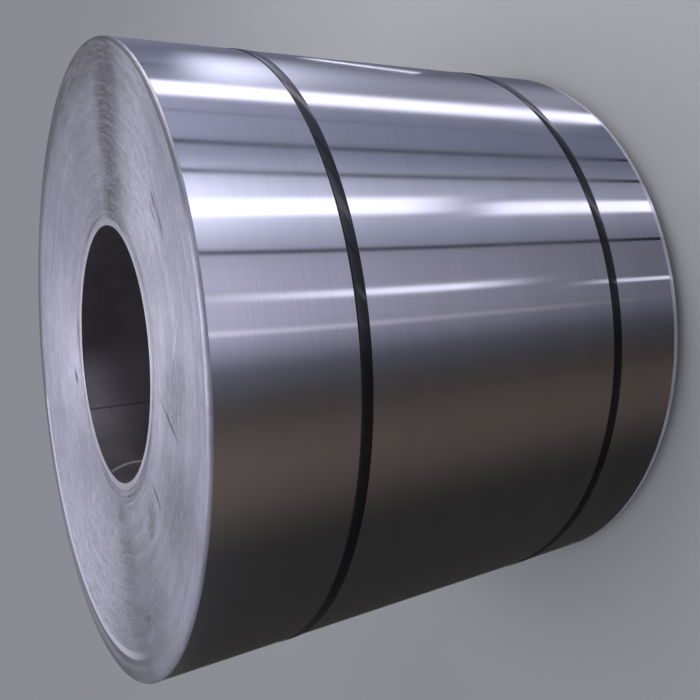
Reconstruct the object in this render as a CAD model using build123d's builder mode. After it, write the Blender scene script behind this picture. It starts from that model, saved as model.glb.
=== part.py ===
"""A coil of bright steel strip standing on its end, held by two black steel straps.

All sizes are in millimetres. +Z runs up the coil's bore, towards the end face that shows in the
photograph, and +X is the side that is uppermost there. The origin is on the floor, under the
middle of the coil. Angles are counted from +X towards +Y.
"""
import os
from math import cos, degrees, radians, sin

from build123d import *

# The strip and the coil wound from it
strip_width = 1200
strip_thickness = 2.5
coil_radius = 735
bore_radius = 305

# The turns have slid along each other, so the upper end is a dish and the lower end its match
dish_depth = 30
turn_groups = 4
turn_step = 1.5
inner_ring_depth = 14

# The outermost turns, which were wound a little out of line with the rest
outer_band_depth = 52
outer_band_setback = 5
shoulder_radius = 9
ledge_depth = 10
ledge_width = 12

# The two ends of the strip: where they lie, and how far round the coil the step that each
# leaves dies away
outer_tail_angle = 107
inner_tail_angle = 127
outer_tail_fade = 50
inner_tail_fade = 36

# The straps round the coil, each with its lapped ends inside a crimped seal
strap_width = 25
strap_thickness = 0.8
strap_clearance = 0.5
strap_1_from_top = 307
strap_2_from_top = 984
lap_length = 190
seal_length = 48
seal_wall = 1.2
seal_clearance = 0.3
seal_notch_width = 6
seal_notch_count = 2
strap_1_seal_angle = 42
strap_2_seal_angle = 49

# What follows from them
top_height = strip_width + dish_depth
main_radius = coil_radius - outer_band_depth
ring_radius = bore_radius + inner_ring_depth
ledge_radius = coil_radius - ledge_depth
band_top = top_height - outer_band_setback
ledge_height = dish_depth + ledge_width
strap_inner_radius = coil_radius + strap_clearance
strap_outer_radius = strap_inner_radius + strap_thickness
roof_inner_radius = strap_outer_radius + strap_thickness + seal_clearance
roof_outer_radius = roof_inner_radius + seal_wall


def upright_plane(angle):
    """The upright plane through the coil's axis at this angle: own x outwards, own y up."""
    return Plane(
        origin=(0, 0, 0),
        x_dir=(cos(radians(angle)), sin(radians(angle)), 0),
        z_dir=(sin(radians(angle)), -cos(radians(angle)), 0),
    )


def dish(radius):
    """How far the turn at this radius has slid down from the outermost of the main turns."""
    return dish_depth * (main_radius - radius) / (main_radius - ring_radius)


def end_outline(rim_height):
    """The stepped cone that the groups of turns make on one end, from the rim to the bore."""
    group_depth = (main_radius - ring_radius) / turn_groups
    points = []
    for group in range(turn_groups):
        outer = main_radius - group * group_depth
        inner = outer - group_depth
        slip = turn_step * (group % 2)
        points.append((outer, rim_height - dish(outer) + slip))
        points.append((inner, rim_height - dish(inner) + slip))
    points.append((ring_radius, rim_height - dish_depth))
    points.append((bore_radius, rim_height - dish_depth))
    return points


def build_coil():
    """The wound strip as one turned solid, with the steps that the strip's two ends leave."""
    upper_end = [(coil_radius, band_top), (main_radius, band_top)] + end_outline(top_height)
    lower_end = [(coil_radius, ledge_height), (ledge_radius, ledge_height), (ledge_radius, dish_depth)]
    lower_end += end_outline(dish_depth)
    with BuildPart() as coil:
        with BuildSketch(Plane.XZ):
            with BuildLine():
                Polyline(*upper_end, *reversed(lower_end), close=True)
            make_face()
        revolve(axis=Axis.Z)
        rims = coil.edges().filter_by(GeomType.CIRCLE).filter_by(lambda edge: abs(edge.radius - coil_radius) < 1e-3)
        fillet(rims.sort_by(Axis.Z)[-1], radius=shoulder_radius)
        outer_tail = crescent(coil_radius, -strip_thickness, outer_tail_angle, outer_tail_fade)
        extrude(outer_tail, amount=top_height, mode=Mode.SUBTRACT)
        inner_tail = crescent(bore_radius, strip_thickness, inner_tail_angle, inner_tail_fade)
        extrude(inner_tail, amount=top_height, mode=Mode.SUBTRACT)
    return coil.part


def crescent(radius, step, angle, fade):
    """The thin crescent that starts as a step at the strip's end and fades to nothing."""
    def at(a, r):
        return (r * cos(radians(a)), r * sin(radians(a)))

    half = angle - fade / 2
    with BuildSketch(Plane.XY) as section:
        with BuildLine():
            Line(at(angle, radius - step), at(angle, radius + step))
            ThreePointArc(at(angle, radius + step), at(half, radius + step / 2), at(angle - fade, radius))
            ThreePointArc(at(angle - fade, radius), at(half, radius - step / 2), at(angle, radius - step))
        make_face()
    return section.sketch


def build_strap(from_top, seal_angle):
    """A flat steel strap with its ends lapped, the outer one on top, under the seal."""
    height = top_height - from_top
    lap_angle = degrees(lap_length / strap_outer_radius)
    with BuildPart() as strap:
        with BuildSketch(upright_plane(seal_angle - lap_angle / 2)):
            with Locations((strap_inner_radius + strap_thickness / 2, height)):
                Rectangle(strap_thickness, strap_width)
        revolve(axis=Axis.Z)
        with BuildSketch(upright_plane(seal_angle - lap_angle / 2)):
            with Locations((strap_outer_radius + strap_thickness / 2, height)):
                Rectangle(strap_thickness, strap_width)
        revolve(axis=Axis.Z, revolution_arc=lap_angle)
    return strap.part


def build_seal(from_top, seal_angle):
    """The crimped seal: an outer plate with a side along each edge of the lapped strap."""
    height = top_height - from_top
    seal_span = degrees(seal_length / strap_outer_radius)
    inner_width = strap_width + 2 * seal_clearance
    outer_width = inner_width + 2 * seal_wall
    with BuildPart() as seal:
        with BuildSketch(upright_plane(seal_angle - seal_span / 2)):
            with Locations(((strap_inner_radius + roof_outer_radius) / 2, height)):
                Rectangle(roof_outer_radius - strap_inner_radius, outer_width)
            with Locations(((strap_inner_radius + roof_inner_radius) / 2, height)):
                Rectangle(roof_inner_radius - strap_inner_radius, inner_width, mode=Mode.SUBTRACT)
        revolve(axis=Axis.Z, revolution_arc=seal_span)
        for notch in range(seal_notch_count):
            share = (notch + 1) / (seal_notch_count + 1) - 0.5
            outward = upright_plane(seal_angle + share * seal_span)
            notch_plane = Plane(origin=(0, 0, height), x_dir=(0, 0, 1), z_dir=outward.x_dir)
            with BuildSketch(notch_plane.offset(coil_radius)):
                with Locations((outer_width / 2, 0), (-outer_width / 2, 0)):
                    Rectangle(2 * seal_wall, seal_notch_width)
            extrude(amount=roof_inner_radius - seal_clearance - coil_radius, mode=Mode.SUBTRACT)
    return seal.part


def save(part, name):
    part.label = name
    export_step(part, f"parts/{name}.step")


os.makedirs("parts", exist_ok=True)
save(build_coil(), "coil")
save(build_strap(strap_1_from_top, strap_1_seal_angle), "strap_1")
save(build_strap(strap_2_from_top, strap_2_seal_angle), "strap_2")
save(build_seal(strap_1_from_top, strap_1_seal_angle), "seal_1")
save(build_seal(strap_2_from_top, strap_2_seal_angle), "seal_2")
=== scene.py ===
# %% [markdown]
# A coil of bright steel strip, standing on its end
#
# The real thing is one long strip, 1.2 m wide, wound up tightly and held by two black steel
# straps. The solids come in with their true sizes. This file gives them the finish of the real
# coil: a wall that mirrors its surroundings, two ends made of hundreds of sheared strip edges,
# and lacquered straps. Lengths are in metres, +Z runs up the bore, and angles are counted from
# +X towards +Y.

# %% Frame and tools
import math
from types import SimpleNamespace
import bpy
import numpy as np
from mathutils import Matrix, Vector


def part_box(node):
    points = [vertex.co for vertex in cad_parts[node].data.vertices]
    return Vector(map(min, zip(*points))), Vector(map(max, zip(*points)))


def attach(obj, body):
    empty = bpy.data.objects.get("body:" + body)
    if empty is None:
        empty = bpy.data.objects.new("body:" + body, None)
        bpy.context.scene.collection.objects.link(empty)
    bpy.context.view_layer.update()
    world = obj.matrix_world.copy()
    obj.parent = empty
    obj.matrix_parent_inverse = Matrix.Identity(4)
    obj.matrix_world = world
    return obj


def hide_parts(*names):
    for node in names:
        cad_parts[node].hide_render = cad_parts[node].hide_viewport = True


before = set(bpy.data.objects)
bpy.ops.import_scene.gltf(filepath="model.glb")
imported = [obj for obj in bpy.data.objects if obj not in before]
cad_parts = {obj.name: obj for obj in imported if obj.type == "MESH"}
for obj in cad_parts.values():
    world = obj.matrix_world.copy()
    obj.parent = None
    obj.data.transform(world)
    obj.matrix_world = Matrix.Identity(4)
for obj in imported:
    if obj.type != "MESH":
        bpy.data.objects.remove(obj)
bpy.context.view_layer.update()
scene = bpy.context.scene
scene.view_settings.view_transform = "Standard"
print("solids", sorted(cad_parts))

# %% [markdown]
# The sizes come from the solids where they can be measured there. The rest are the same values
# as in the part's own source: the strip, the bore, the outermost turns and the two strip ends.

# %% Sizes
coil_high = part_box("coil")[1]
coil_radius = coil_high.x
coil_height = coil_high.z
strip_width = 1.2
strip_thickness = 0.0025
bore_radius = 0.305
inner_ring_depth = 0.014
outer_band_depth = 0.052
shoulder_radius = 0.009
ledge_width = 0.012
outer_tail_angle = 107
outer_tail_fade = 50
inner_tail_angle = 127
inner_tail_fade = 36
dish_depth = coil_height - strip_width
ring_radius = bore_radius + inner_ring_depth
main_radius = coil_radius - outer_band_depth
print("coil radius", round(coil_radius, 4), "height", round(coil_height, 4))

# %% [markdown]
# Node trees are quicker to read as arithmetic than as lists of links. The class wraps one output
# socket, so that an expression on it adds Math nodes to its tree. The function below it makes
# any other node from its type, its settings and what goes into its sockets.

# %% Wires and nodes
class Wire:
    """One output socket of a node tree, on which arithmetic adds Math nodes."""

    def __init__(self, socket):
        self.socket = socket
        self.tree = socket.id_data

    def apply(self, operation, *others):
        """The result of a Math node with this wire first and the others after it."""
        return add_node(self.tree, "ShaderNodeMath", {"operation": operation}, (self, *others))

    def __add__(self, other):
        return self.apply("ADD", other)

    def __sub__(self, other):
        return self.apply("SUBTRACT", other)

    def __rsub__(self, other):
        return self * -1.0 + other

    def __mul__(self, other):
        return self.apply("MULTIPLY", other)

    def __truediv__(self, other):
        return self.apply("DIVIDE", other)

    __radd__ = __add__
    __rmul__ = __mul__


def add_node(tree, kind, settings=None, values=(), output=0):
    """Adds a node, sets it up, feeds its sockets by place or by name, and returns one output."""
    node = tree.nodes.new(kind)
    for name, value in (settings or {}).items():
        setattr(node, name, value)
    named = values.items() if isinstance(values, dict) else enumerate(values)
    for key, value in named:
        if isinstance(value, Wire):
            tree.links.new(value.socket, node.inputs[key])
        elif value is not None:
            node.inputs[key].default_value = value
    return Wire(node.outputs[output])


def vector_math(tree, operation, *values, output=0):
    return add_node(tree, "ShaderNodeVectorMath", {"operation": operation}, values, output)


# %% [markdown]
# A few short names cover what every finish needs: taking a place apart, stretching it, soft
# steps from one value to another, mixing colours, noise and relief.

# %% Helpers for shader maths
def part_of(vector, axis):
    """One of a vector's three numbers: 0 for x, 1 for y and 2 for z."""
    return add_node(vector.tree, "ShaderNodeSeparateXYZ", {}, [vector], axis)


def stretch(vector, factors):
    """The vector with each of its three numbers times its own factor."""
    return vector_math(vector.tree, "MULTIPLY", vector, factors)


def scaled(tree, vector, factor):
    """The whole vector times one number. Either may be a wire."""
    return add_node(tree, "ShaderNodeVectorMath", {"operation": "SCALE"}, {0: vector, "Scale": factor})


def ramp(value, low, high, start=0.0, end=1.0):
    """Runs smoothly from start to end while the value goes from low to high."""
    settings = {"interpolation_type": "SMOOTHSTEP"}
    return add_node(value.tree, "ShaderNodeMapRange", settings, (value, low, high, start, end))


def fall(value, low, high):
    """Runs smoothly from one down to nothing while the value goes from low to high."""
    return ramp(value, low, high, 1.0, 0.0)


def near(value, middle, reach, core=0.0):
    """One within the core on both sides of the middle, fading to nothing at the reach."""
    return fall((value - middle).apply("ABSOLUTE"), core, reach)


def strongest(*masks):
    """The largest of several masks at each point."""
    total = masks[0]
    for mask in masks[1:]:
        total = total.apply("MAXIMUM", mask)
    return total


def blend_colours(factor, first, second):
    """Mixes two colours, each a wire or three numbers."""
    colours = [c if isinstance(c, Wire) else (*c, 1) for c in (first, second)]
    sockets = {0: factor, 6: colours[0], 7: colours[1]}
    return add_node(factor.tree, "ShaderNodeMix", {"data_type": "RGBA"}, sockets, 2)


def noise(vector, scale=1.0, detail=2.0, rough=0.5, output=0):
    """Soft noise between 0 and 1, around 0.5."""
    values = {"Vector": vector, "Scale": scale, "Detail": detail, "Roughness": rough}
    return add_node(vector.tree, "ShaderNodeTexNoise", {}, values, output)


def bump(height, strength, distance):
    """Relief in the shading alone, from a pattern of heights."""
    values = {"Height": height, "Strength": strength, "Distance": distance}
    return add_node(height.tree, "ShaderNodeBump", {}, values)


# %% [markdown]
# Each finish is one Principled shader. Constants go straight on its sockets, and only what
# changes over the surface is wired in.

# %% A new material
def new_material(name, constants):
    """A material with one Principled shader. Returns the material, its tree and the shader."""
    material = bpy.data.materials.new(name)
    material.use_nodes = True
    shader = material.node_tree.nodes["Principled BSDF"]
    for socket, value in constants.items():
        shader.inputs[socket].default_value = value
    return material, material.node_tree, shader


def wire_in(shader, **wires):
    """Links wires to the shader's sockets, named with low lines in place of spaces."""
    for name, wire in wires.items():
        wire.tree.links.new(wire.socket, shader.inputs[name.replace("_", " ")])


def place_on(tree):
    """The point on the piece, in metres, in the frame that the whole coil shares."""
    return add_node(tree, "ShaderNodeTexCoord", output=3)


# %% [markdown]
# The wall is bright cold-rolled strip. Rolling leaves hair-fine lines along the strip, which run
# round the coil, so a reflection stays sharp round the coil and smears along it. The shader's
# anisotropy does that. Its tangent runs round the Z axis by default, and a quarter turn sets
# the long way of the smear along the bore. A faint bump makes the reflections swim a little, as
# they do on real strip, which is never quite flat.

# %% Bright strip
steel_dark = (0.50, 0.50, 0.52)
steel_pale = (0.56, 0.56, 0.58)


def make_wall_steel():
    constants = {"Metallic": 1.0, "Anisotropic": 1.0, "Anisotropic Rotation": 0.25}
    material, tree, shader = new_material("bright_strip", constants)
    point = place_on(tree)
    rolling_lines = noise(stretch(point, (3, 3, 900)), detail=3.0, rough=0.6)
    bands = noise(stretch(point, (0.6, 0.6, 9)))
    stains = ramp(noise(point, 2.2, detail=3.0, rough=0.55), 0.45, 0.7)
    shade = ramp(rolling_lines * 0.6 + bands * 0.4, 0.3, 0.7)
    colour = blend_colours(shade, steel_dark, steel_pale)
    roughness = 0.085 + 0.02 * rolling_lines + 0.03 * stains
    swim = noise(stretch(point, (1, 1, 0.45)), 3.0, detail=1.0)
    relief = bump(swim * 0.9 + rolling_lines * 0.012, strength=0.12, distance=0.004)
    wire_in(shader, Base_Color=colour, Roughness=roughness, Normal=relief)
    return material


bright_strip = make_wall_steel()
print("made", bright_strip.name)

# %% [markdown]
# An end of the coil is the sheared edge of the strip, turn upon turn. It is the same steel, but
# sheared and a little burred: paler, much duller, and lined with fine arcs. The arcs come from
# noise in coordinates that follow the turns, fine across them and long along them. The patterns
# that the end needs are each a small function of the place.

# %% Patterns on the ends
def flattened(point):
    """The point with its height left out."""
    return stretch(point, (1, 1, 0))


def distance_out(point):
    """The distance from the coil's axis."""
    return vector_math(point.tree, "LENGTH", flattened(point), output=1)


def along_turns(point, across_scale, along_scale):
    """Coordinates for a pattern that follows the turns: one scale across them, one along them."""
    tree = point.tree
    outward = vector_math(tree, "NORMALIZE", flattened(point))
    along = scaled(tree, outward, along_scale)
    across = add_node(tree, "ShaderNodeCombineXYZ", {}, (0.0, 0.0, distance_out(point) * across_scale))
    return vector_math(tree, "ADD", along, across)


def stroke(point, start, end, width):
    """A scratch from one place to another on the end, fainter towards both of its tips."""
    tree = point.tree
    tip = 0.35
    faint = 0.3
    first = Vector((*start, 0))
    run = Vector((*end, 0)) - first
    offset = vector_math(tree, "SUBTRACT", flattened(point), first)
    share = vector_math(tree, "DOT_PRODUCT", offset, run / run.length_squared, output=1)
    kept = add_node(tree, "ShaderNodeClamp", {}, (share, 0.0, 1.0))
    gap = vector_math(tree, "DISTANCE", offset, scaled(tree, run, kept), output=1)
    body = fall(gap, 0.1 * width, width)
    return body * ramp(share, 0.0, tip, faint, 1.0) * ramp(share, 1.0 - tip, 1.0, 1.0, faint)


def spot(point, middle, reach):
    """A soft round spot on the end."""
    gap = vector_math(point.tree, "DISTANCE", flattened(point), (*middle, 0), output=1)
    return fall(gap, 0.2 * reach, reach)


# %% [markdown]
# Several masks on the end share the same patterns, so these are made once: the place, arcs of
# different lengths and finenesses, smudges and grain. Two values steer the painted shade of the
# wedges: a slow sway that bends its edges, and the distance aside from the middle of the upper
# wedge, as a share of the wedge's width, which grows towards the rim. Upper means towards +X
# here, which is up in the picture, and lower means towards -X.

# %% Shared patterns
def end_patterns(point):
    """Everything that the masks on the end read, in one bundle."""
    x = part_of(point, 0)
    y = part_of(point, 1)
    sway = (noise(point, 9.0) - 0.5) * 0.12
    return SimpleNamespace(
        point=point,
        x=x,
        y=y,
        radius=distance_out(point),
        long_arcs=noise(along_turns(point, 420.0, 3.5), rough=0.6),
        short_arcs=noise(along_turns(point, 190.0, 15.0), rough=0.6),
        ribs=noise(along_turns(point, 105.0, 5.0), detail=1.0),
        broad=noise(along_turns(point, 45.0, 2.0), detail=3.0, rough=0.6),
        smudge=noise(point, 6.0, detail=4.0, rough=0.6),
        grain=noise(point, 70.0, detail=3.0, rough=0.7),
        sway=sway,
        aside=(y + sway + x * 0.2) / (x * 1.2 + 0.2),
    )


# %% [markdown]
# The colour is laid on in steps, as a painter would, each with a mask of its own. First come the
# clean edges, a mottle of two greys. Then painted shade darkens two wedges, where the turned edges
# mirror dark and the arcs look short and broken, and the upper rim. Painted highlights make pale
# streaks along the turns on two sides, where the edges catch the light. A painted image could
# carry all this, but masks from arithmetic stay sharp at any distance, and one number moves or
# weakens each.

# %% Clean edges, painted shade and painted highlights
# Colours of the clean edges, of the painted shade in the wedges, and of the painted highlights.
edge_dark = (0.39, 0.38, 0.46)
edge_pale = (0.54, 0.53, 0.64)
painted_fan_shade = (0.13, 0.12, 0.12)
painted_highlight_pale = (0.80, 0.80, 0.92)


def clean_edges(end):
    """The mottle of the edges that nothing has soiled or rubbed."""
    arcs = end.long_arcs * 0.2 + end.short_arcs * 0.25 + end.broad * 0.2
    mottle = arcs + end.smudge * 0.2 + end.grain * 0.15
    return blend_colours(ramp(mottle, 0.40, 0.60), edge_dark, edge_pale)


def add_painted_fan_shade(end, colour):
    """Painted shade in the upper and the lower wedge, where the turned edges mirror dark, and along the
    upper rim.
    """
    # Painted shade: the dark wedges where the turned edges mirror dark, and the upper rim.
    upper_wedge = ramp(end.aside, -0.17, 0.02) * fall(end.aside, 0.04, 0.17) * ramp(end.x, 0.25, 0.36)
    low_aside = end.y - end.x * 0.95 - 0.283 + end.sway
    lower_wedge = near(low_aside, 0.0, 0.14) * fall(end.x, -0.42, -0.33)
    upper_rim = ramp(end.radius + end.sway * 0.3, 0.58, 0.72)
    upper_rim = upper_rim * ramp(end.x, 0.20, 0.55) * ramp(end.y, -0.34, -0.08)
    places = strongest(upper_wedge, lower_wedge * 0.45, upper_rim * 0.95)
    broken = ramp(end.ribs * 0.6 + end.short_arcs * 0.4, 0.36, 0.64, 0.80, 0.45)
    return blend_colours(places * broken, colour, painted_fan_shade)


def add_painted_highlight_streaks(end, colour):
    """Painted highlight: pale streaks on the lower side towards +Y, and on the upper side towards -Y."""
    lower_side = fall(end.x, -0.60, -0.30) * ramp(end.y, -0.20, 0.05)
    upper_side = fall(end.aside, -0.26, -0.08) * ramp(end.x, 0.20, 0.32) * ramp(end.y, -0.50, -0.36)
    streaks = ramp(end.long_arcs * 0.4 + end.short_arcs * 0.4 + end.grain * 0.2, 0.38, 0.60, 0.2, 0.8)
    return blend_colours(strongest(lower_side, upper_side * 0.75) * streaks, colour, painted_highlight_pale)


# %% [markdown]
# Towards the rim the turns that are set back lie in painted shade, and the last turn before them
# carries a painted highlight along its edge. Near the upper rim a line of painted shade dulls the
# rounded edge, where it mirrors the lamp. Towards the bore a ragged pale ring marks the innermost
# turns, and thin lines of painted shade lie between the turns outside it. All of these are set
# by their distance from the axis.

# %% Turns at the rim and at the bore
# Colours for the painted shade on set-back turns, the painted highlight on the band's edge, the painted
# shade at the upper rim, the pale ring at the bore, and the painted shade between turns, which the dirt
# spots share too.
shaded_turns = (0.17, 0.17, 0.19)
edge_highlight_pale = (0.88, 0.88, 0.98)
rim_shade_colour = (0.12, 0.12, 0.14)
bore_pale = (0.68, 0.67, 0.76)
gap_shade_and_dirt = (0.13, 0.12, 0.14)


def add_rim_turns(end, colour):
    """Painted shade on the far side's outer turns and on the set-back band, a painted highlight along the
    band's pale edge, and a line of painted shade near the upper rim.
    """
    far_side = ramp(end.y, 0.15, 0.4) * ramp(end.x, -0.24, -0.2)
    # Painted shade on the far side's outer turns and on the set-back band.
    shaded_outer_turns = ramp(end.radius + end.sway * 0.2, main_radius - 0.021, main_radius + 0.012) * far_side
    band_side = ramp(end.y * 0.62 - end.x * 0.78, 0.20, 0.45)
    band = ramp(end.radius, main_radius, main_radius + 0.005) * band_side
    lines = noise(along_turns(end.point, 150.0, 1.5), detail=1.0)
    shaded = ramp(lines, 0.42, 0.58, 0.5, 0.85) * band
    colour = blend_colours(strongest(shaded_outer_turns * 0.65, shaded), colour, shaded_turns)
    # A painted highlight along the pale edge of the last main turn.
    edge_highlight = near(end.radius, main_radius - 0.0075, 0.009, core=0.005) * fall(end.x, -0.24, -0.2)
    colour = blend_colours(edge_highlight * band_side * 0.85, colour, edge_highlight_pale)
    # A line of painted shade near the upper rim, where the rounded edge mirrors the lamp.
    rim_shade = ramp(end.radius, coil_radius - 0.0085, coil_radius - 0.0065)
    rim_shade = rim_shade * ramp(end.radius, coil_radius - 0.0015, coil_radius - 0.0005, 1.0, 0.2)
    return blend_colours(rim_shade * ramp(end.x, 0.25, 0.45, 0.0, 0.75), colour, rim_shade_colour)


def add_bore_turns(end, colour):
    """The ragged pale ring at the bore, and thin lines of painted shade between the turns outside it."""
    ragged = end.radius + (end.short_arcs - 0.5) * 0.012 + (end.smudge - 0.5) * 0.010
    pale_ring = near(ragged, bore_radius + 0.004, 0.014, core=0.008)
    colour = blend_colours(pale_ring * ramp(end.grain, 0.3, 0.6, 0.75, 0.35), colour, bore_pale)
    # Thin lines of painted shade between the turns outside the pale ring.
    lines = ramp(noise(along_turns(end.point, 260.0, 1.2), detail=1.0), 0.50, 0.60)
    ring = ramp(end.radius, ring_radius - 0.005, ring_radius + 0.003)
    ring = ring * fall(end.radius, ring_radius + 0.016, ring_radius + 0.056)
    return blend_colours(lines * ring * ramp(end.smudge, 0.35, 0.6, 0.25, 0.75), colour, gap_shade_and_dirt)


# %% [markdown]
# The marks lie where the photograph shows them, in metres on the end. A scratch has its two tips
# and its width. A spot, where grime has settled, has its middle, its reach and its strength, and
# its outline is frayed by pushing the place about with noise before the distance is taken.

# %% Scratches and spots
scratch_dark = (0.06, 0.06, 0.08)
scratch_pale = (0.80, 0.80, 0.88)
dark_scratches = (
    ((0.384, -0.415), (0.350, -0.441), 0.008),
    ((0.356, -0.449), (0.296, -0.487), 0.010),
    ((0.372, -0.392), (0.318, -0.430), 0.005),
    ((-0.096, 0.372), (-0.132, 0.350), 0.012),
    ((-0.030, -0.378), (-0.090, -0.540), 0.006),
    ((-0.228, -0.322), (-0.262, -0.400), 0.005),
)
pale_scratches = (
    ((-0.322, 0.120), (-0.428, 0.206), 0.007),
    ((-0.366, 0.250), (-0.418, 0.226), 0.008),
    ((0.166, -0.577), (0.042, -0.491), 0.005),
)
dark_spots = (
    ((-0.305, -0.322), 0.050, 0.55),
    ((-0.520, -0.315), 0.045, 0.70),
    ((-0.434, -0.444), 0.045, 0.40),
    ((-0.374, -0.053), 0.040, 0.45),
    ((-0.006, -0.520), 0.160, 0.55),
    ((-0.210, -0.520), 0.180, 0.50),
    ((-0.500, -0.360), 0.190, 0.45),
)
print("marks", len(dark_scratches), "dark,", len(pale_scratches), "pale,", len(dark_spots), "spots")


def add_marks(end, colour):
    """The spots first, then the dark scratches and the pale ones over them."""
    tree = end.point.tree
    middle_grey = (0.5, 0.5, 0.5)
    push_reach = 0.12
    push = noise(end.point, 22.0, detail=3.0, rough=0.7, output=1)
    push = stretch(vector_math(tree, "SUBTRACT", push, middle_grey), (push_reach, push_reach, 0.0))
    frayed = vector_math(tree, "ADD", end.point, push)
    spots = strongest(*[spot(frayed, middle, reach) * strength for middle, reach, strength in dark_spots])
    speckled = ramp(end.short_arcs * 0.6 + end.grain * 0.4, 0.36, 0.56)
    colour = blend_colours(spots * speckled, colour, gap_shade_and_dirt)
    worn = ramp(end.smudge, 0.40, 0.60, 0.45, 0.95)
    dark = strongest(*[stroke(end.point, *scratch) for scratch in dark_scratches])
    colour = blend_colours(dark * worn, colour, scratch_dark)
    pale = strongest(*[stroke(end.point, *scratch) for scratch in pale_scratches])
    return blend_colours(pale * worn * 0.5, colour, scratch_pale)


# %% [markdown]
# The finish of the ends puts the layers on one after another. The same arcs that colour it also
# raise it a little, so that a low light catches the burrs.

# %% Sheared strip edges
def make_end_steel():
    constants = {"Anisotropic": 0.45, "Anisotropic Rotation": 0.25, "Metallic": 0.8}
    material, tree, shader = new_material("sheared_edges", constants)
    end = end_patterns(place_on(tree))
    colour = clean_edges(end)
    for add_layer in (add_painted_fan_shade, add_painted_highlight_streaks, add_rim_turns, add_bore_turns, add_marks):
        colour = add_layer(end, colour)
    burrs = bump(end.long_arcs * 0.4 + end.ribs * 0.3 + end.short_arcs * 0.3, strength=0.4, distance=0.001)
    wire_in(shader, Base_Color=colour, Roughness=0.46 + 0.14 * end.broad, Normal=burrs)
    return material


sheared_edges = make_end_steel()
print("made", sheared_edges.name, "from", len(sheared_edges.node_tree.nodes), "nodes")

# %% [markdown]
# Round the far rim the outermost turn ends a little short of the next one. The strip's slit edge
# shows there as a pale line.

# %% Slit edge
slit_dark = (0.62, 0.62, 0.68)
slit_pale = (0.80, 0.80, 0.88)


def make_slit_edge():
    material, tree, shader = new_material("slit_edge", {"Metallic": 0.3})
    patches = noise(along_turns(place_on(tree), 100.0, 6.0))
    colour = blend_colours(ramp(patches, 0.35, 0.65), slit_dark, slit_pale)
    wire_in(shader, Base_Color=colour, Roughness=0.4 + 0.1 * patches)
    return material


slit_edge = make_slit_edge()
print("made", slit_edge.name)

# %% [markdown]
# The innermost turns carry a dull brownish film, and little light gets in to them, so their
# colour is painted darker than the steel as shade. Just inside the mouth, on one side, a painted
# pool of light makes the wall paler, fading with depth. The strip's inner end leaves a dark line
# up the wall, and something has left one pale rub, bent like a bow. The rub's angle and depth are
# those of the bow's middle, and its bend says how far aside its ends lie. Angles are in degrees,
# and a depth is counted down from the mouth.

# %% Bore wall
# The film's colours are painted darker than the steel as shade, and the third is a painted pool of light.
film_and_shade_dark = (0.086, 0.073, 0.085)
film_and_shade_pale = (0.132, 0.115, 0.132)
painted_light_film = (0.26, 0.24, 0.29)
line_dark = (0.015, 0.013, 0.015)
rub_pale = (0.50, 0.50, 0.53)
rub_angle = 165.2
rub_depth = 0.066
rub_bend = 1380.0


def make_bore_steel():
    material, tree, shader = new_material("bore_film_and_shade", {"Metallic": 0.3})
    point = place_on(tree)
    depth = strip_width - part_of(point, 2)
    angle = part_of(point, 1).apply("ARCTAN2", part_of(point, 0)) * (180 / math.pi)
    film = noise(point, 5.0, detail=4.0, rough=0.6)
    colour = blend_colours(ramp(film, 0.35, 0.7), film_and_shade_dark, film_and_shade_pale)
    # A painted pool of light just inside the mouth on one side, fading with depth.
    painted_light_side = ramp(angle, 92.0, 112.0) * fall(angle, 125.0, 150.0) * ramp(depth, 0.0, 0.13, 1.0, 0.2)
    colour = blend_colours(painted_light_side, colour, painted_light_film)
    tail_line = near(angle, inner_tail_angle, 0.9)
    colour = blend_colours(tail_line * 0.7, colour, line_dark)
    offset = depth - rub_depth
    rub = near(angle - offset * offset * rub_bend, rub_angle, 1.5) * near(depth, 0.055, 0.056, core=0.045)
    colour = blend_colours(rub * ramp(film, 0.3, 0.6, 0.5, 0.9), colour, rub_pale)
    lines = noise(stretch(point, (2, 2, 160)), detail=3.0)
    relief = bump(lines, strength=0.2, distance=0.001)
    wire_in(shader, Base_Color=colour, Roughness=0.5 + 0.14 * lines, Normal=relief)
    return material


bore_film_and_shade = make_bore_steel()
print("made", bore_film_and_shade.name)

# %% [markdown]
# The straps are thin black lacquered steel, glossy along their edges and rubbed here and there.
# The coat is the lacquer's own gloss over a duller black. The seals have the same lacquer, a
# shade less deep.

# %% Black lacquer
lacquer_rubbed = (0.06, 0.06, 0.07)


def make_strap_lacquer(name, colour):
    constants = {"Specular IOR Level": 0.1, "Coat Weight": 0.7, "Coat Roughness": 0.09}
    material, tree, shader = new_material(name, constants)
    rub = noise(stretch(place_on(tree), (1, 1, 6)), 40.0, detail=4.0, rough=0.65)
    tint = blend_colours(ramp(rub, 0.62, 0.78), colour, lacquer_rubbed)
    relief = bump(rub, strength=0.15, distance=0.0006)
    wire_in(shader, Base_Color=tint, Roughness=0.34 + 0.22 * rub, Normal=relief)
    return material


strap_lacquer = make_strap_lacquer("strap_lacquer", (0.006, 0.006, 0.008))
seal_lacquer = make_strap_lacquer("seal_lacquer", (0.008, 0.008, 0.010))
print("made", strap_lacquer.name, "and", seal_lacquer.name)

# %% [markdown]
# The coil is turned like a pot on a wheel: a profile goes round the bore. It could be one solid
# with flat ends, but the turns of a real coil never line up, so each end is cut into many rings,
# two rows of points for each. The lower end, which is out of sight, has wider rings. Where a
# smooth wall meets an edge, one more row lies close to it, so that the edge doesn't spoil the
# wall's shading.

# %% Rows of the profile
ring_pitch = 2 * strip_thickness
lower_pitch = 8 * ring_pitch
row_gap = 0.0002
slit_width = 0.003
ledge_height = dish_depth + ledge_width
ledge_radius = coil_radius - strip_thickness
wall_top = coil_height - shoulder_radius - 0.001
bore_top = strip_width - 0.002


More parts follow.
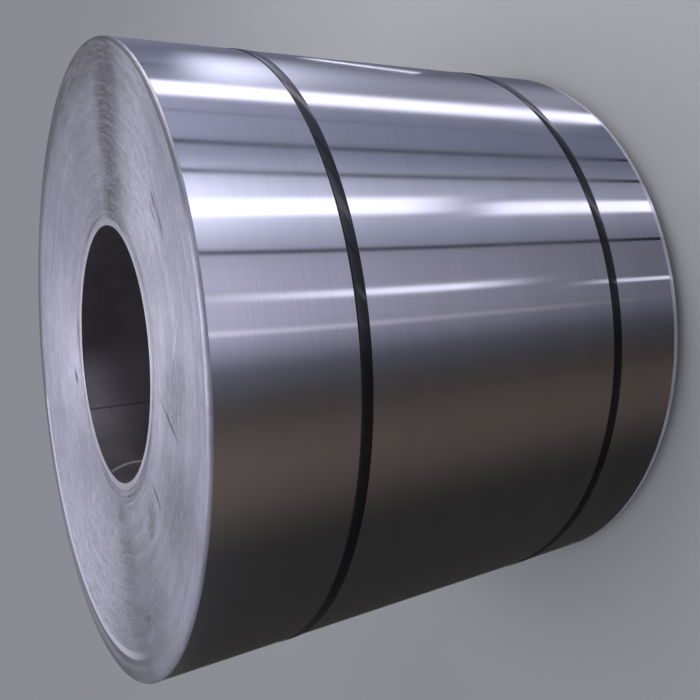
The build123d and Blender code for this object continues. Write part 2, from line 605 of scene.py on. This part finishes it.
def dish(radius):
    """How far the turn at this radius has slid down from the outermost of the main turns."""
    return dish_depth * (main_radius - radius) / (main_radius - ring_radius)


def end_height(radius, rim_height):
    """The height of one end of the coil at this radius, without the small steps between turns."""
    if radius <= ring_radius:
        return rim_height - dish_depth
    return rim_height - dish(radius)


def end_rows(rim_height, pitch):
    """Two points for each ring of turns on one end, from the main turns' rim to the bore."""
    count = round((main_radius - bore_radius) / pitch)
    edges = np.linspace(main_radius, bore_radius, count + 1)
    rows = []
    for outer, inner in zip(edges[:-1], edges[1:]):
        height = end_height((outer + inner) / 2, rim_height)
        rows.append((outer - row_gap, height))
        rows.append((inner + row_gap, height))
    return rows


def shoulder_rows(top, steps=5):
    """The rounded rim, from the upper end's outermost turns to the wall."""
    rows = []
    for step in range(steps + 1):
        turn = math.radians(90) * step / steps
        out = coil_radius - shoulder_radius + shoulder_radius * math.sin(turn)
        rows.append((out, top - shoulder_radius + shoulder_radius * math.cos(turn)))
    return rows


band_shares = (0.25, 0.5, 0.75)
upper_rows = list(reversed(end_rows(coil_height, ring_pitch)))
band_rows = [(main_radius + row_gap, coil_height)]
band_rows += [(main_radius + outer_band_depth * share, coil_height) for share in band_shares]
rim_rows = shoulder_rows(coil_height)
wall_rows = [(coil_radius, wall_top)]
wall_rows += [(coil_radius, h) for h in np.linspace(strip_width - 0.005, ledge_height + slit_width, 7)]
ledge_rows = [(coil_radius, ledge_height), (ledge_radius, ledge_height), (ledge_radius, dish_depth)]
lower_rows = end_rows(dish_depth, lower_pitch) + [(ring_radius, 0), (bore_radius, 0)]
bore_rows = [(bore_radius, h) for h in np.linspace(0.002, bore_top - 0.004, 6)]
bore_rows += [(bore_radius, bore_top)]
print("rows on the upper end", len(upper_rows), "and on the wall", len(wall_rows))

# %% [markdown]
# The rows go round the bore. The strip's own two ends leave a step in the wall and in the bore,
# which dies away round the coil, so the profile breathes in and out a little as it goes round.
# Two extra columns at each strip end make its step crisp. The outermost turns are set back on
# one side of the coil only, where the solid has them set back all round, because it is turned in
# one piece.

# %% Steps on the way round
columns = 448
beside_tail = 0.01
seen_setback = 0.0022
setback_angle = 110


def tail_step(angle, tail_angle, fade):
    """How much of the strip's thickness is missing at this angle."""
    behind = tail_angle - angle
    return strip_thickness * (1 - behind / fade) if 0 <= behind <= fade else 0.0


def column_angles():
    even = np.linspace(0, 360, columns, endpoint=False)
    tails = (outer_tail_angle, inner_tail_angle)
    steps = [angle + side for angle in tails for side in (-beside_tail, beside_tail)]
    return np.array(sorted([*even, *steps]))


def setback_share(angle):
    """The share of the set-back that the outermost turns have here: full on one side of the coil."""
    return min(1.0, max(0.0, 0.5 + 1.6 * math.cos(math.radians(angle - setback_angle))))


def turned_point(radius, height, angle):
    """One point of the body, moved by the set-back and by the step of the nearer strip end."""
    if radius > main_radius and height > strip_width:
        height -= seen_setback * setback_share(angle)
    outer_share = max(0.0, (radius - main_radius) / (coil_radius - main_radius))
    inner_share = 1.0 if radius < bore_radius + 1e-6 else 0.0
    radius -= outer_share * tail_step(angle, outer_tail_angle, outer_tail_fade)
    radius += inner_share * tail_step(angle, inner_tail_angle, inner_tail_fade)
    return (radius * math.cos(math.radians(angle)), radius * math.sin(math.radians(angle)), height)


angles = column_angles()
print("columns", len(angles))

# %% [markdown]
# Every row is joined to the next, and the last one to the first, so the body is closed and its
# faces point outwards. Each part of the profile has its own finish, and a face takes the finish
# of the row at its far edge.

# %% The turned body
def turn_body(name, rows, angles):
    """A closed body from rows of (radius, height) points that go round the bore."""
    points = [turned_point(r, h, a) for r, h in rows for a in angles]
    wide = len(angles)
    faces = []
    for row in range(len(rows)):
        below = (row + 1) % len(rows)
        for column in range(wide):
            beside = (column + 1) % wide
            here, under = row * wide, below * wide
            faces.append((here + column, under + column, under + beside, here + beside))
    mesh = bpy.data.meshes.new(name)
    mesh.from_pydata(points, [], faces)
    body = bpy.data.objects.new(name, mesh)
    scene.collection.objects.link(body)
    return body


finishes = (bright_strip, sheared_edges, bore_film_and_shade, slit_edge)
wall_slot, end_slot, bore_slot, slit_slot = range(len(finishes))
profile_parts = (
    (upper_rows, end_slot),
    (band_rows, end_slot),
    (rim_rows, end_slot),
    (wall_rows, wall_slot),
    (ledge_rows, slit_slot),
    (lower_rows, end_slot),
    (bore_rows, bore_slot),
)
profile = [row for rows, slot in profile_parts for row in rows]
slot_of_row = [slot for rows, slot in profile_parts for row in rows]
slot_of_face_row = slot_of_row[1:] + [bore_slot]
wound_coil = turn_body("wound_coil", profile, angles)
for finish in finishes:
    wound_coil.data.materials.append(finish)
slot_of_face = np.repeat(slot_of_face_row, len(angles)).astype(np.int32)
wound_coil.data.polygons.foreach_set("material_index", slot_of_face)
print("faces", len(wound_coil.data.polygons))

# %% [markdown]
# Geometry Nodes can move every point by a rule. Each tree here is written in code, so three
# helpers come first. One starts a tree with named inputs, one closes it, and one runs it on a
# piece and keeps the result as a plain mesh.

# %% Helpers for Geometry Nodes
def new_tree(name, inputs):
    """A Geometry Nodes tree with named inputs. Returns the tree and its input wires."""
    tree = bpy.data.node_groups.new(name, "GeometryNodeTree")
    tree.interface.new_socket("Geometry", in_out="INPUT", socket_type="NodeSocketGeometry")
    tree.interface.new_socket("Geometry", in_out="OUTPUT", socket_type="NodeSocketGeometry")
    for label, (kind, value) in inputs.items():
        socket = tree.interface.new_socket(label, in_out="INPUT", socket_type="NodeSocket" + kind)
        if value is not None:
            socket.default_value = value
    source = tree.nodes.new("NodeGroupInput")
    return tree, {s.name: Wire(s) for s in source.outputs if s.name}


def end_tree(tree, geometry, material=None):
    """Realizes whatever is instanced, sets the material if one is given, and closes the tree."""
    real = add_node(tree, "GeometryNodeRealizeInstances", {}, [geometry])
    if material is not None:
        real = add_node(tree, "GeometryNodeSetMaterial", {}, {"Geometry": real, "Material": material})
    sink = tree.nodes.new("NodeGroupOutput")
    tree.links.new(real.socket, sink.inputs[0])


def apply_tree(piece, tree, values):
    """Runs a tree on a piece and keeps its result as a plain mesh."""
    modifier = piece.modifiers.new(tree.name, "NODES")
    modifier.node_group = tree
    sockets = {s.name: s.identifier for s in tree.interface.items_tree if s.in_out == "INPUT"}
    for label, value in values.items():
        modifier[sockets[label]] = value
    depsgraph = bpy.context.evaluated_depsgraph_get()
    result = bpy.data.meshes.new_from_object(piece.evaluated_get(depsgraph), depsgraph=depsgraph)
    piece.modifiers.clear()
    result.name = piece.name
    piece.data = result


# %% [markdown]
# The turns are made uneven. The tree finds which turn a point belongs to from its distance to
# the bore, gives each turn its own small drop from white noise, and lets it wander a little on
# its way round. Only the upper end's points are moved, and only down, so the body stays inside
# its solid. The faces keep their own finishes, so the tree sets no material.

# %% Uneven turns
def uneven_turns_tree():
    inputs = {
        "Bore Radius": ("Float", 0.3),
        "Ring Pitch": ("Float", 0.005),
        "Lowest Point": ("Float", 1.0),
        "Step Between Turns": ("Float", 0.001),
        "Wander": ("Float", 0.001),
        "Wander Scale": ("Float", 2.0),
        "Lift Per Turn": ("Float", 0.3),
        "Seed": ("Int", 1),
    }
    tree, wires = new_tree("uneven_turns", inputs)
    position = add_node(tree, "GeometryNodeInputPosition")
    flat = flattened(position)
    radius = vector_math(tree, "LENGTH", flat, output=1)
    turn = ((radius - wires["Bore Radius"]) / wires["Ring Pitch"]).apply("FLOOR")
    draw = {"ID": turn, "Seed": wires["Seed"]}
    chance = add_node(tree, "FunctionNodeRandomValue", {"data_type": "FLOAT"}, draw, 1)
    outward = vector_math(tree, "NORMALIZE", flat)
    lift = add_node(tree, "ShaderNodeCombineXYZ", {}, (0.0, 0.0, turn * wires["Lift Per Turn"]))
    drift = noise(vector_math(tree, "ADD", outward, lift), wires["Wander Scale"])
    drop = chance * wires["Step Between Turns"] + drift * wires["Wander"]
    down = add_node(tree, "ShaderNodeCombineXYZ", {}, (0.0, 0.0, 0.0 - drop))
    heights = (part_of(position, 2), wires["Lowest Point"])
    chosen = add_node(tree, "FunctionNodeCompare", {"operation": "GREATER_THAN"}, heights)
    sockets = {"Geometry": wires["Geometry"], "Selection": chosen, "Offset": down}
    end_tree(tree, add_node(tree, "GeometryNodeSetPosition", {}, sockets))
    return tree


turn_values = {
    "Bore Radius": bore_radius,
    "Ring Pitch": ring_pitch,
    "Lowest Point": strip_width - 0.0015,
    "Step Between Turns": 0.0006,
    "Wander": 0.0008,
    "Wander Scale": 2.4,
    "Lift Per Turn": 0.31,
    "Seed": 7,
}
edge_angle = math.radians(35)
apply_tree(wound_coil, uneven_turns_tree(), turn_values)
wound_coil.data.shade_smooth()
wound_coil.data.set_sharp_from_angle(angle=edge_angle)
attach(wound_coil, "root")
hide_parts("coil")
print("wound coil triangles", 2 * len(wound_coil.data.polygons))

# %% [markdown]
# A strap is one flat band that goes round once and then climbs over its own beginning, where the
# seal grips both layers. It could be a plain ring, but its real edges are rounded and carry the
# only glints on the black. A Geometry Nodes tree bends a straight line round the coil, lifts its
# last part onto the outer layer, and sweeps a rectangle with rounded corners along it.

# %% Lapped straps
strap_clearance = 0.0005
strap_thickness = 0.0008
strap_corner = 0.00025
strap_points = 1200
lap_length = 0.190
climb_angle = 0.03


def strap_tree():
    inputs = {
        "Inner Radius": ("Float", 0.7),
        "Height": ("Float", 1.0),
        "Lap Middle": ("Float", 0.0),
        "Lap Length": ("Float", 0.2),
        "Climb": ("Float", 0.03),
        "Width": ("Float", 0.025),
        "Thickness": ("Float", 0.001),
        "Corner": ("Float", 0.0002),
        "Points": ("Int", 900),
        "Material": ("Material", None),
    }
    tree, wires = new_tree("lapped_strap", inputs)
    line = add_node(tree, "GeometryNodeCurvePrimitiveLine")
    beads = add_node(tree, "GeometryNodeResampleCurve", {}, {"Curve": line, "Count": wires["Points"]})
    lap = wires["Lap Length"] / wires["Inner Radius"]
    travelled = add_node(tree, "GeometryNodeSplineParameter") * (lap + 2 * math.pi)
    climb = ramp(travelled, 2 * math.pi - wires["Climb"], 2 * math.pi)
    angle = wires["Lap Middle"] * (math.pi / 180) - lap / 2 + travelled
    radius = wires["Inner Radius"] + wires["Thickness"] * (climb + 0.5)
    place = (radius * angle.apply("COSINE"), radius * angle.apply("SINE"), wires["Height"])
    bent_to = add_node(tree, "ShaderNodeCombineXYZ", {}, place)
    bent = add_node(tree, "GeometryNodeSetPosition", {}, {"Geometry": beads, "Position": bent_to})
    upright = add_node(tree, "GeometryNodeSetCurveNormal", {"mode": "Z_UP"}, {"Curve": bent})
    sizes = {"Width": wires["Thickness"], "Height": wires["Width"]}
    oblong = add_node(tree, "GeometryNodeCurvePrimitiveQuadrilateral", {}, sizes)
    section = {"Curve": oblong, "Radius": wires["Corner"], "Count": 2}
    rounded = add_node(tree, "GeometryNodeFilletCurve", {"mode": "POLY"}, section)
    swept = {"Curve": upright, "Profile Curve": rounded, "Fill Caps": True}
    end_tree(tree, add_node(tree, "GeometryNodeCurveToMesh", {}, swept), wires["Material"])
    return tree


lapped_strap = strap_tree()
print("tree", lapped_strap.name, "with", len(lapped_strap.nodes), "nodes")

# %% [markdown]
# Both straps come from this one tree and differ only in their height and in the angle at which
# their ends lap. Their sides are smooth, and only the edges between the sides stay sharp.

# %% Two straps
lap_middles = {"strap_1": 42, "strap_2": 49}
strap_edge_angle = math.radians(50)


def add_strap(node_name, tree, lap_middle):
    """One strap in the place of its solid, as wide and as high up as the solid is."""
    low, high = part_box(node_name)
    strap = bpy.data.objects.new("lapped_" + node_name, bpy.data.meshes.new("lapped_" + node_name))
    scene.collection.objects.link(strap)
    values = {
        "Inner Radius": coil_radius + strap_clearance,
        "Height": (low.z + high.z) / 2,
        "Lap Middle": lap_middle,
        "Lap Length": lap_length,
        "Climb": climb_angle,
        "Width": high.z - low.z,
        "Thickness": strap_thickness,
        "Corner": strap_corner,
        "Points": strap_points,
        "Material": strap_lacquer,
    }
    apply_tree(strap, tree, values)
    strap.data.shade_smooth()
    strap.data.set_sharp_from_angle(angle=strap_edge_angle)
    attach(strap, "root")
    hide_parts(node_name)
    print(strap.name, "triangles", 2 * len(strap.data.polygons), "across", round(strap.dimensions.x, 4))


for node_name, lap_middle in lap_middles.items():
    add_strap(node_name, lapped_strap, lap_middle)

# %% [markdown]
# The seals keep the shape that the solids give them and only get the lacquer. They are on the
# side that the photograph doesn't show, so nothing more is known of them.

# %% Seals
for node_name in ("seal_1", "seal_2"):
    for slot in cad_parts[node_name].material_slots:
        slot.material = seal_lacquer
    print("lacquered", node_name)

# %% [markdown]
# The photograph shows the coil with its bore level. Here the coil stands, so the camera is
# turned on its side instead: it keeps the same place and direction beside the coil. Up in the
# picture is +X, so the pitch is an angle towards +X, and a negative one looks down. The shift
# slides the picture within the lens's view until the coil lies where the photograph has it.

# %% Camera
eye = Vector((0.375, -2.163, 1.725))
view_azimuth = math.radians(52.51)
view_pitch = math.radians(-4.25)
ahead = math.cos(view_pitch)
forward = Vector((math.sin(view_pitch), ahead * math.sin(view_azimuth), -ahead * math.cos(view_azimuth)))
right = Vector((0, -math.cos(view_azimuth), -math.sin(view_azimuth)))
upward = right.cross(forward)
camera_data = bpy.data.cameras.new("camera")
camera_data.lens = 44.5
camera_data.shift_x = -0.2
camera_data.shift_y = -0.129
camera = bpy.data.objects.new("camera", camera_data)
scene.collection.objects.link(camera)
turned = Matrix((right, upward, -forward)).transposed().to_4x4()
camera.matrix_world = Matrix.Translation(eye) @ turned
scene.camera = camera
print("camera", round(eye.xy.length, 2), "m from the coil's axis")

# %% [markdown]
# The coil stands on a plain pale floor. Neither the floor nor anything on it is part of the coil.

# %% Floor
floor_reach = 40


def make_stage_mesh(name, points, faces, material):
    """A plain mesh that belongs to the stage."""
    mesh = bpy.data.meshes.new(name)
    mesh.from_pydata(points, [], faces)
    mesh.materials.append(material)
    body = bpy.data.objects.new(name, mesh)
    scene.collection.objects.link(body)
    return body


def make_floor(reach):
    constants = {"Roughness": 0.9, "Base Color": (0.55, 0.55, 0.56, 1), "Specular IOR Level": 0.1}
    material = new_material("floor_paint", constants)[0]
    corners = [(-reach, -reach, 0), (reach, -reach, 0), (reach, reach, 0), (-reach, reach, 0)]
    make_stage_mesh("floor", corners, [(0, 1, 2, 3)], material)


make_floor(floor_reach)
print("floor", 2 * floor_reach, "m across")

# %% [markdown]
# The coil's wall is a curved mirror, and in this view it mirrors only the floor beside it, so
# what lies there is what the wall looks like. A photographer would lay soft light panels on the
# floor for the bright bands and thin black cards for the dark lines between them, and so does
# this scene. Each one follows the track that one line up the wall mirrors from the eye, and
# widens with the distance. Its light runs from one strength to another and ends softly.

# %% Tracks and glow
def mirrored_track(wall_angle):
    """Where a line up the wall stands, and the way in which it mirrors the eye's sight."""
    turn = math.radians(wall_angle)
    outward = Vector((math.cos(turn), -math.sin(turn)))
    foot = outward * coil_radius
    sight = (eye.xy - foot).normalized()
    return foot, 2 * outward.dot(sight) * outward - sight


print("a line at 60 degrees mirrors towards", [round(share, 2) for share in mirrored_track(60)[1]])


def panel_material(name, colour, light, soft, bend, fade):
    """Light that changes from start to reach, soft at the panel's sides, and fading at its reach.

    It changes evenly where the bend is 1, and later on its way where the bend is larger.
    """
    material = bpy.data.materials.new(name)
    material.use_nodes = True
    tree = material.node_tree
    tree.nodes.clear()
    across = add_node(tree, "ShaderNodeAttribute", {"attribute_name": "across"}, output=2)
    along = add_node(tree, "ShaderNodeAttribute", {"attribute_name": "along"}, output=2)
    cover = fall(across.apply("ABSOLUTE"), 1.0 - soft, 1.0)
    if fade:
        cover = cover * fall(along, 1.0 - fade, 1.0)
    at_start, at_reach = light
    strength = at_start + (at_reach - at_start) * along.apply("POWER", bend)
    glow = add_node(tree, "ShaderNodeEmission", {}, {"Color": (*colour, 1), "Strength": strength})
    clear = add_node(tree, "ShaderNodeBsdfTransparent")
    mixed = add_node(tree, "ShaderNodeMixShader", {}, (cover, clear, glow))
    sink = tree.nodes.new("ShaderNodeOutputMaterial")
    tree.links.new(mixed.socket, sink.inputs["Surface"])
    return material


# %% [markdown]
# A panel is a fan of points on the floor. Two attributes tell its material how far across and
# how far along the panel each point lies. The camera doesn't see it, as if it lay just outside
# the picture. A panel with its start beyond its reach runs towards the wall and fades before it
# gets there, which makes a band that breaks off partway up the wall.

# %% Light panels
panel_white = (0.93, 0.92, 1.12)
panel_rows = 25
panel_columns = 25
layer_gap = 0.003


def add_panel(name, layer, middle, half, soft, light, colour=panel_white, bend=1.0,
              turn=0.0, start=0.0, reach=5.0, fade=0.0):
    """A panel on the floor that the wall mirrors between two angles, given as middle and half.

    It runs from start to reach, in metres from the wall, and turns by some degrees on its way.
    """
    places = []
    shares = []
    for along in np.linspace(0, 1, panel_rows):
        for across in np.linspace(-1, 1, panel_columns):
            foot, away = mirrored_track(middle + turn * along + half * across)
            place = foot + away * (start + (reach - start) * along)
            places.append((place.x, place.y, layer * layer_gap))
            shares.append((across, along))
    faces = []
    for row in range(panel_rows - 1):
        for column in range(panel_columns - 1):
            corner = row * panel_columns + column
            faces.append((corner, corner + 1, corner + 1 + panel_columns, corner + panel_columns))
    panel = make_stage_mesh(name, places, faces, panel_material(name, colour, light, soft, bend, fade))
    for number, label in enumerate(("across", "along")):
        attribute = panel.data.attributes.new(label, "FLOAT", "POINT")
        attribute.data.foreach_set("value", [pair[number] for pair in shares])
    panel.visible_camera = False
    panel.visible_diffuse = False
    panel.visible_shadow = False


# %% [markdown]
# The widest pieces come first and lie lowest: two dim cloths that make the lower half of the
# wall dark, and soft glows that lift its upper half. Angles are in degrees round the wall, here
# from +X towards -Y, and the two numbers of a light are its strength where the panel starts and
# where it ends.

# %% Cloths and glows
cloth_black = (1.04, 0.98, 0.98)
cloth_warm = (1.18, 0.96, 0.86)
sky_blue = (0.85, 0.90, 1.25)
pale_blue = (0.93, 0.92, 1.20)
soft_blue = (0.90, 0.92, 1.18)
add_panel("dark_cloth", 1, middle=80.2, half=70, soft=0.05, light=(0.034, 0.042), colour=cloth_black)
add_panel("warm_cloth", 2, middle=98, half=15, soft=1.0, light=(0.09, 0.15), colour=cloth_warm)
add_panel("side_glow", 2, middle=20.3, half=10, soft=0.15, light=(0.15, 0.27), colour=sky_blue)
add_panel("wide_glow", 3, middle=57, half=35, soft=0.6, light=(0.25, 0.72), colour=sky_blue)
add_panel("right_glow", 4, middle=74.5, half=10.5, soft=0.8, light=(0.22, 1.15), colour=pale_blue)
add_panel("glow_1", 4, middle=30.0, half=11.0, soft=1.0, light=(0.42, 5.8), colour=soft_blue,
          bend=3.4, reach=3.8, fade=0.4)
add_panel("edge_glow", 5, middle=20.4, half=0.8, soft=0.6, light=(2.2, 3.0), turn=-5.0,
          start=0.75, reach=1.75, fade=0.3)
add_panel("glow_2", 5, middle=60.4, half=9.5, soft=1.0, light=(0.50, 2.8), colour=soft_blue, bend=1.5)

# %% [markdown]
# The bands and lines lie on top. Each is the image of one bright or dark strip beside the coil,
# and their small turns are the slants that the photograph shows. The dark ones are thin cards.

# %% Bands and lines
add_panel("band_1", 6, middle=37.6, half=2.7, soft=0.6, light=(2.1, 2.8))
add_panel("band_2", 6, middle=61.2, half=1.9, soft=0.5, light=(2.8, 2.1), start=5.0, reach=0.75, fade=0.12)
add_panel("band_3", 6, middle=61.8, half=1.6, soft=0.5, light=(2.0, 2.0), reach=0.85, fade=0.3)
add_panel("line_1", 6, middle=73.3, half=0.7, soft=0.7, light=(0.4, 2.2), turn=2.2,
          start=5.0, reach=0.5, fade=0.12)
add_panel("line_3", 6, middle=76.7, half=0.5, soft=0.7, light=(1.3, 1.0), turn=-0.5, reach=0.42, fade=0.6)
add_panel("line_2", 6, middle=80.3, half=0.6, soft=0.9, light=(0.2, 1.8), turn=-1.8)
add_panel("thin_line", 7, middle=44.1, half=0.18, soft=0.6, light=(0.15, 0.15), turn=-1.0)
add_panel("dark_line_1", 7, middle=50.6, half=0.42, soft=0.3, light=(0.03, 0.03), turn=-1.0)
add_panel("dark_line_2", 7, middle=56.0, half=0.42, soft=0.3, light=(0.05, 0.06), turn=-1.1)
add_panel("dark_line_3", 7, middle=68.8, half=0.38, soft=0.4, light=(0.03, 0.05), turn=-1.2)

# %% [markdown]
# A large soft lamp stands low on the +X side. It lights the floor there and leaves the floor
# on the other side in the coil's own shadow. A second one hangs over the coil and has a grid,
# so that it lights the upper end and little else. The world around is a plain dim sky, darker
# towards the horizon.

# %% Lamps and surroundings
def add_lamp(name, place, aim, size, power, spread):
    """A rectangular lamp at a place, turned towards its aim, with its light held to a spread."""
    data = bpy.data.lights.new(name, "AREA")
    data.shape = "RECTANGLE"
    data.size, data.size_y = size
    data.energy = power
    data.spread = math.radians(spread)
    lamp = bpy.data.objects.new(name, data)
    scene.collection.objects.link(lamp)
    lamp.location = place
    lamp.rotation_mode = "QUATERNION"
    lamp.rotation_quaternion = (Vector(aim) - Vector(place)).to_track_quat("-Z", "Y")
    lamp.visible_camera = False


def make_sky(horizon, overhead):
    world = bpy.data.worlds.new("studio")
    scene.world = world
    world.use_nodes = True
    tree = world.node_tree
    height = part_of(add_node(tree, "ShaderNodeTexCoord"), 2)
    sky = blend_colours(ramp(height, 0.1, 0.9), horizon, overhead)
    tree.links.new(sky.socket, tree.nodes["Background"].inputs["Color"])


add_lamp("side_lamp", place=(3.6, 0.3, 1.7), aim=(1.2, -0.2, 0), size=(2.4, 1.6), power=42, spread=170)
add_lamp("top_lamp", place=(0, -0.1, 2.5), aim=(0, -0.1, 1.2), size=(1.2, 1.2), power=3.2, spread=60)
make_sky(horizon=(0.22, 0.22, 0.24), overhead=(0.55, 0.56, 0.62))
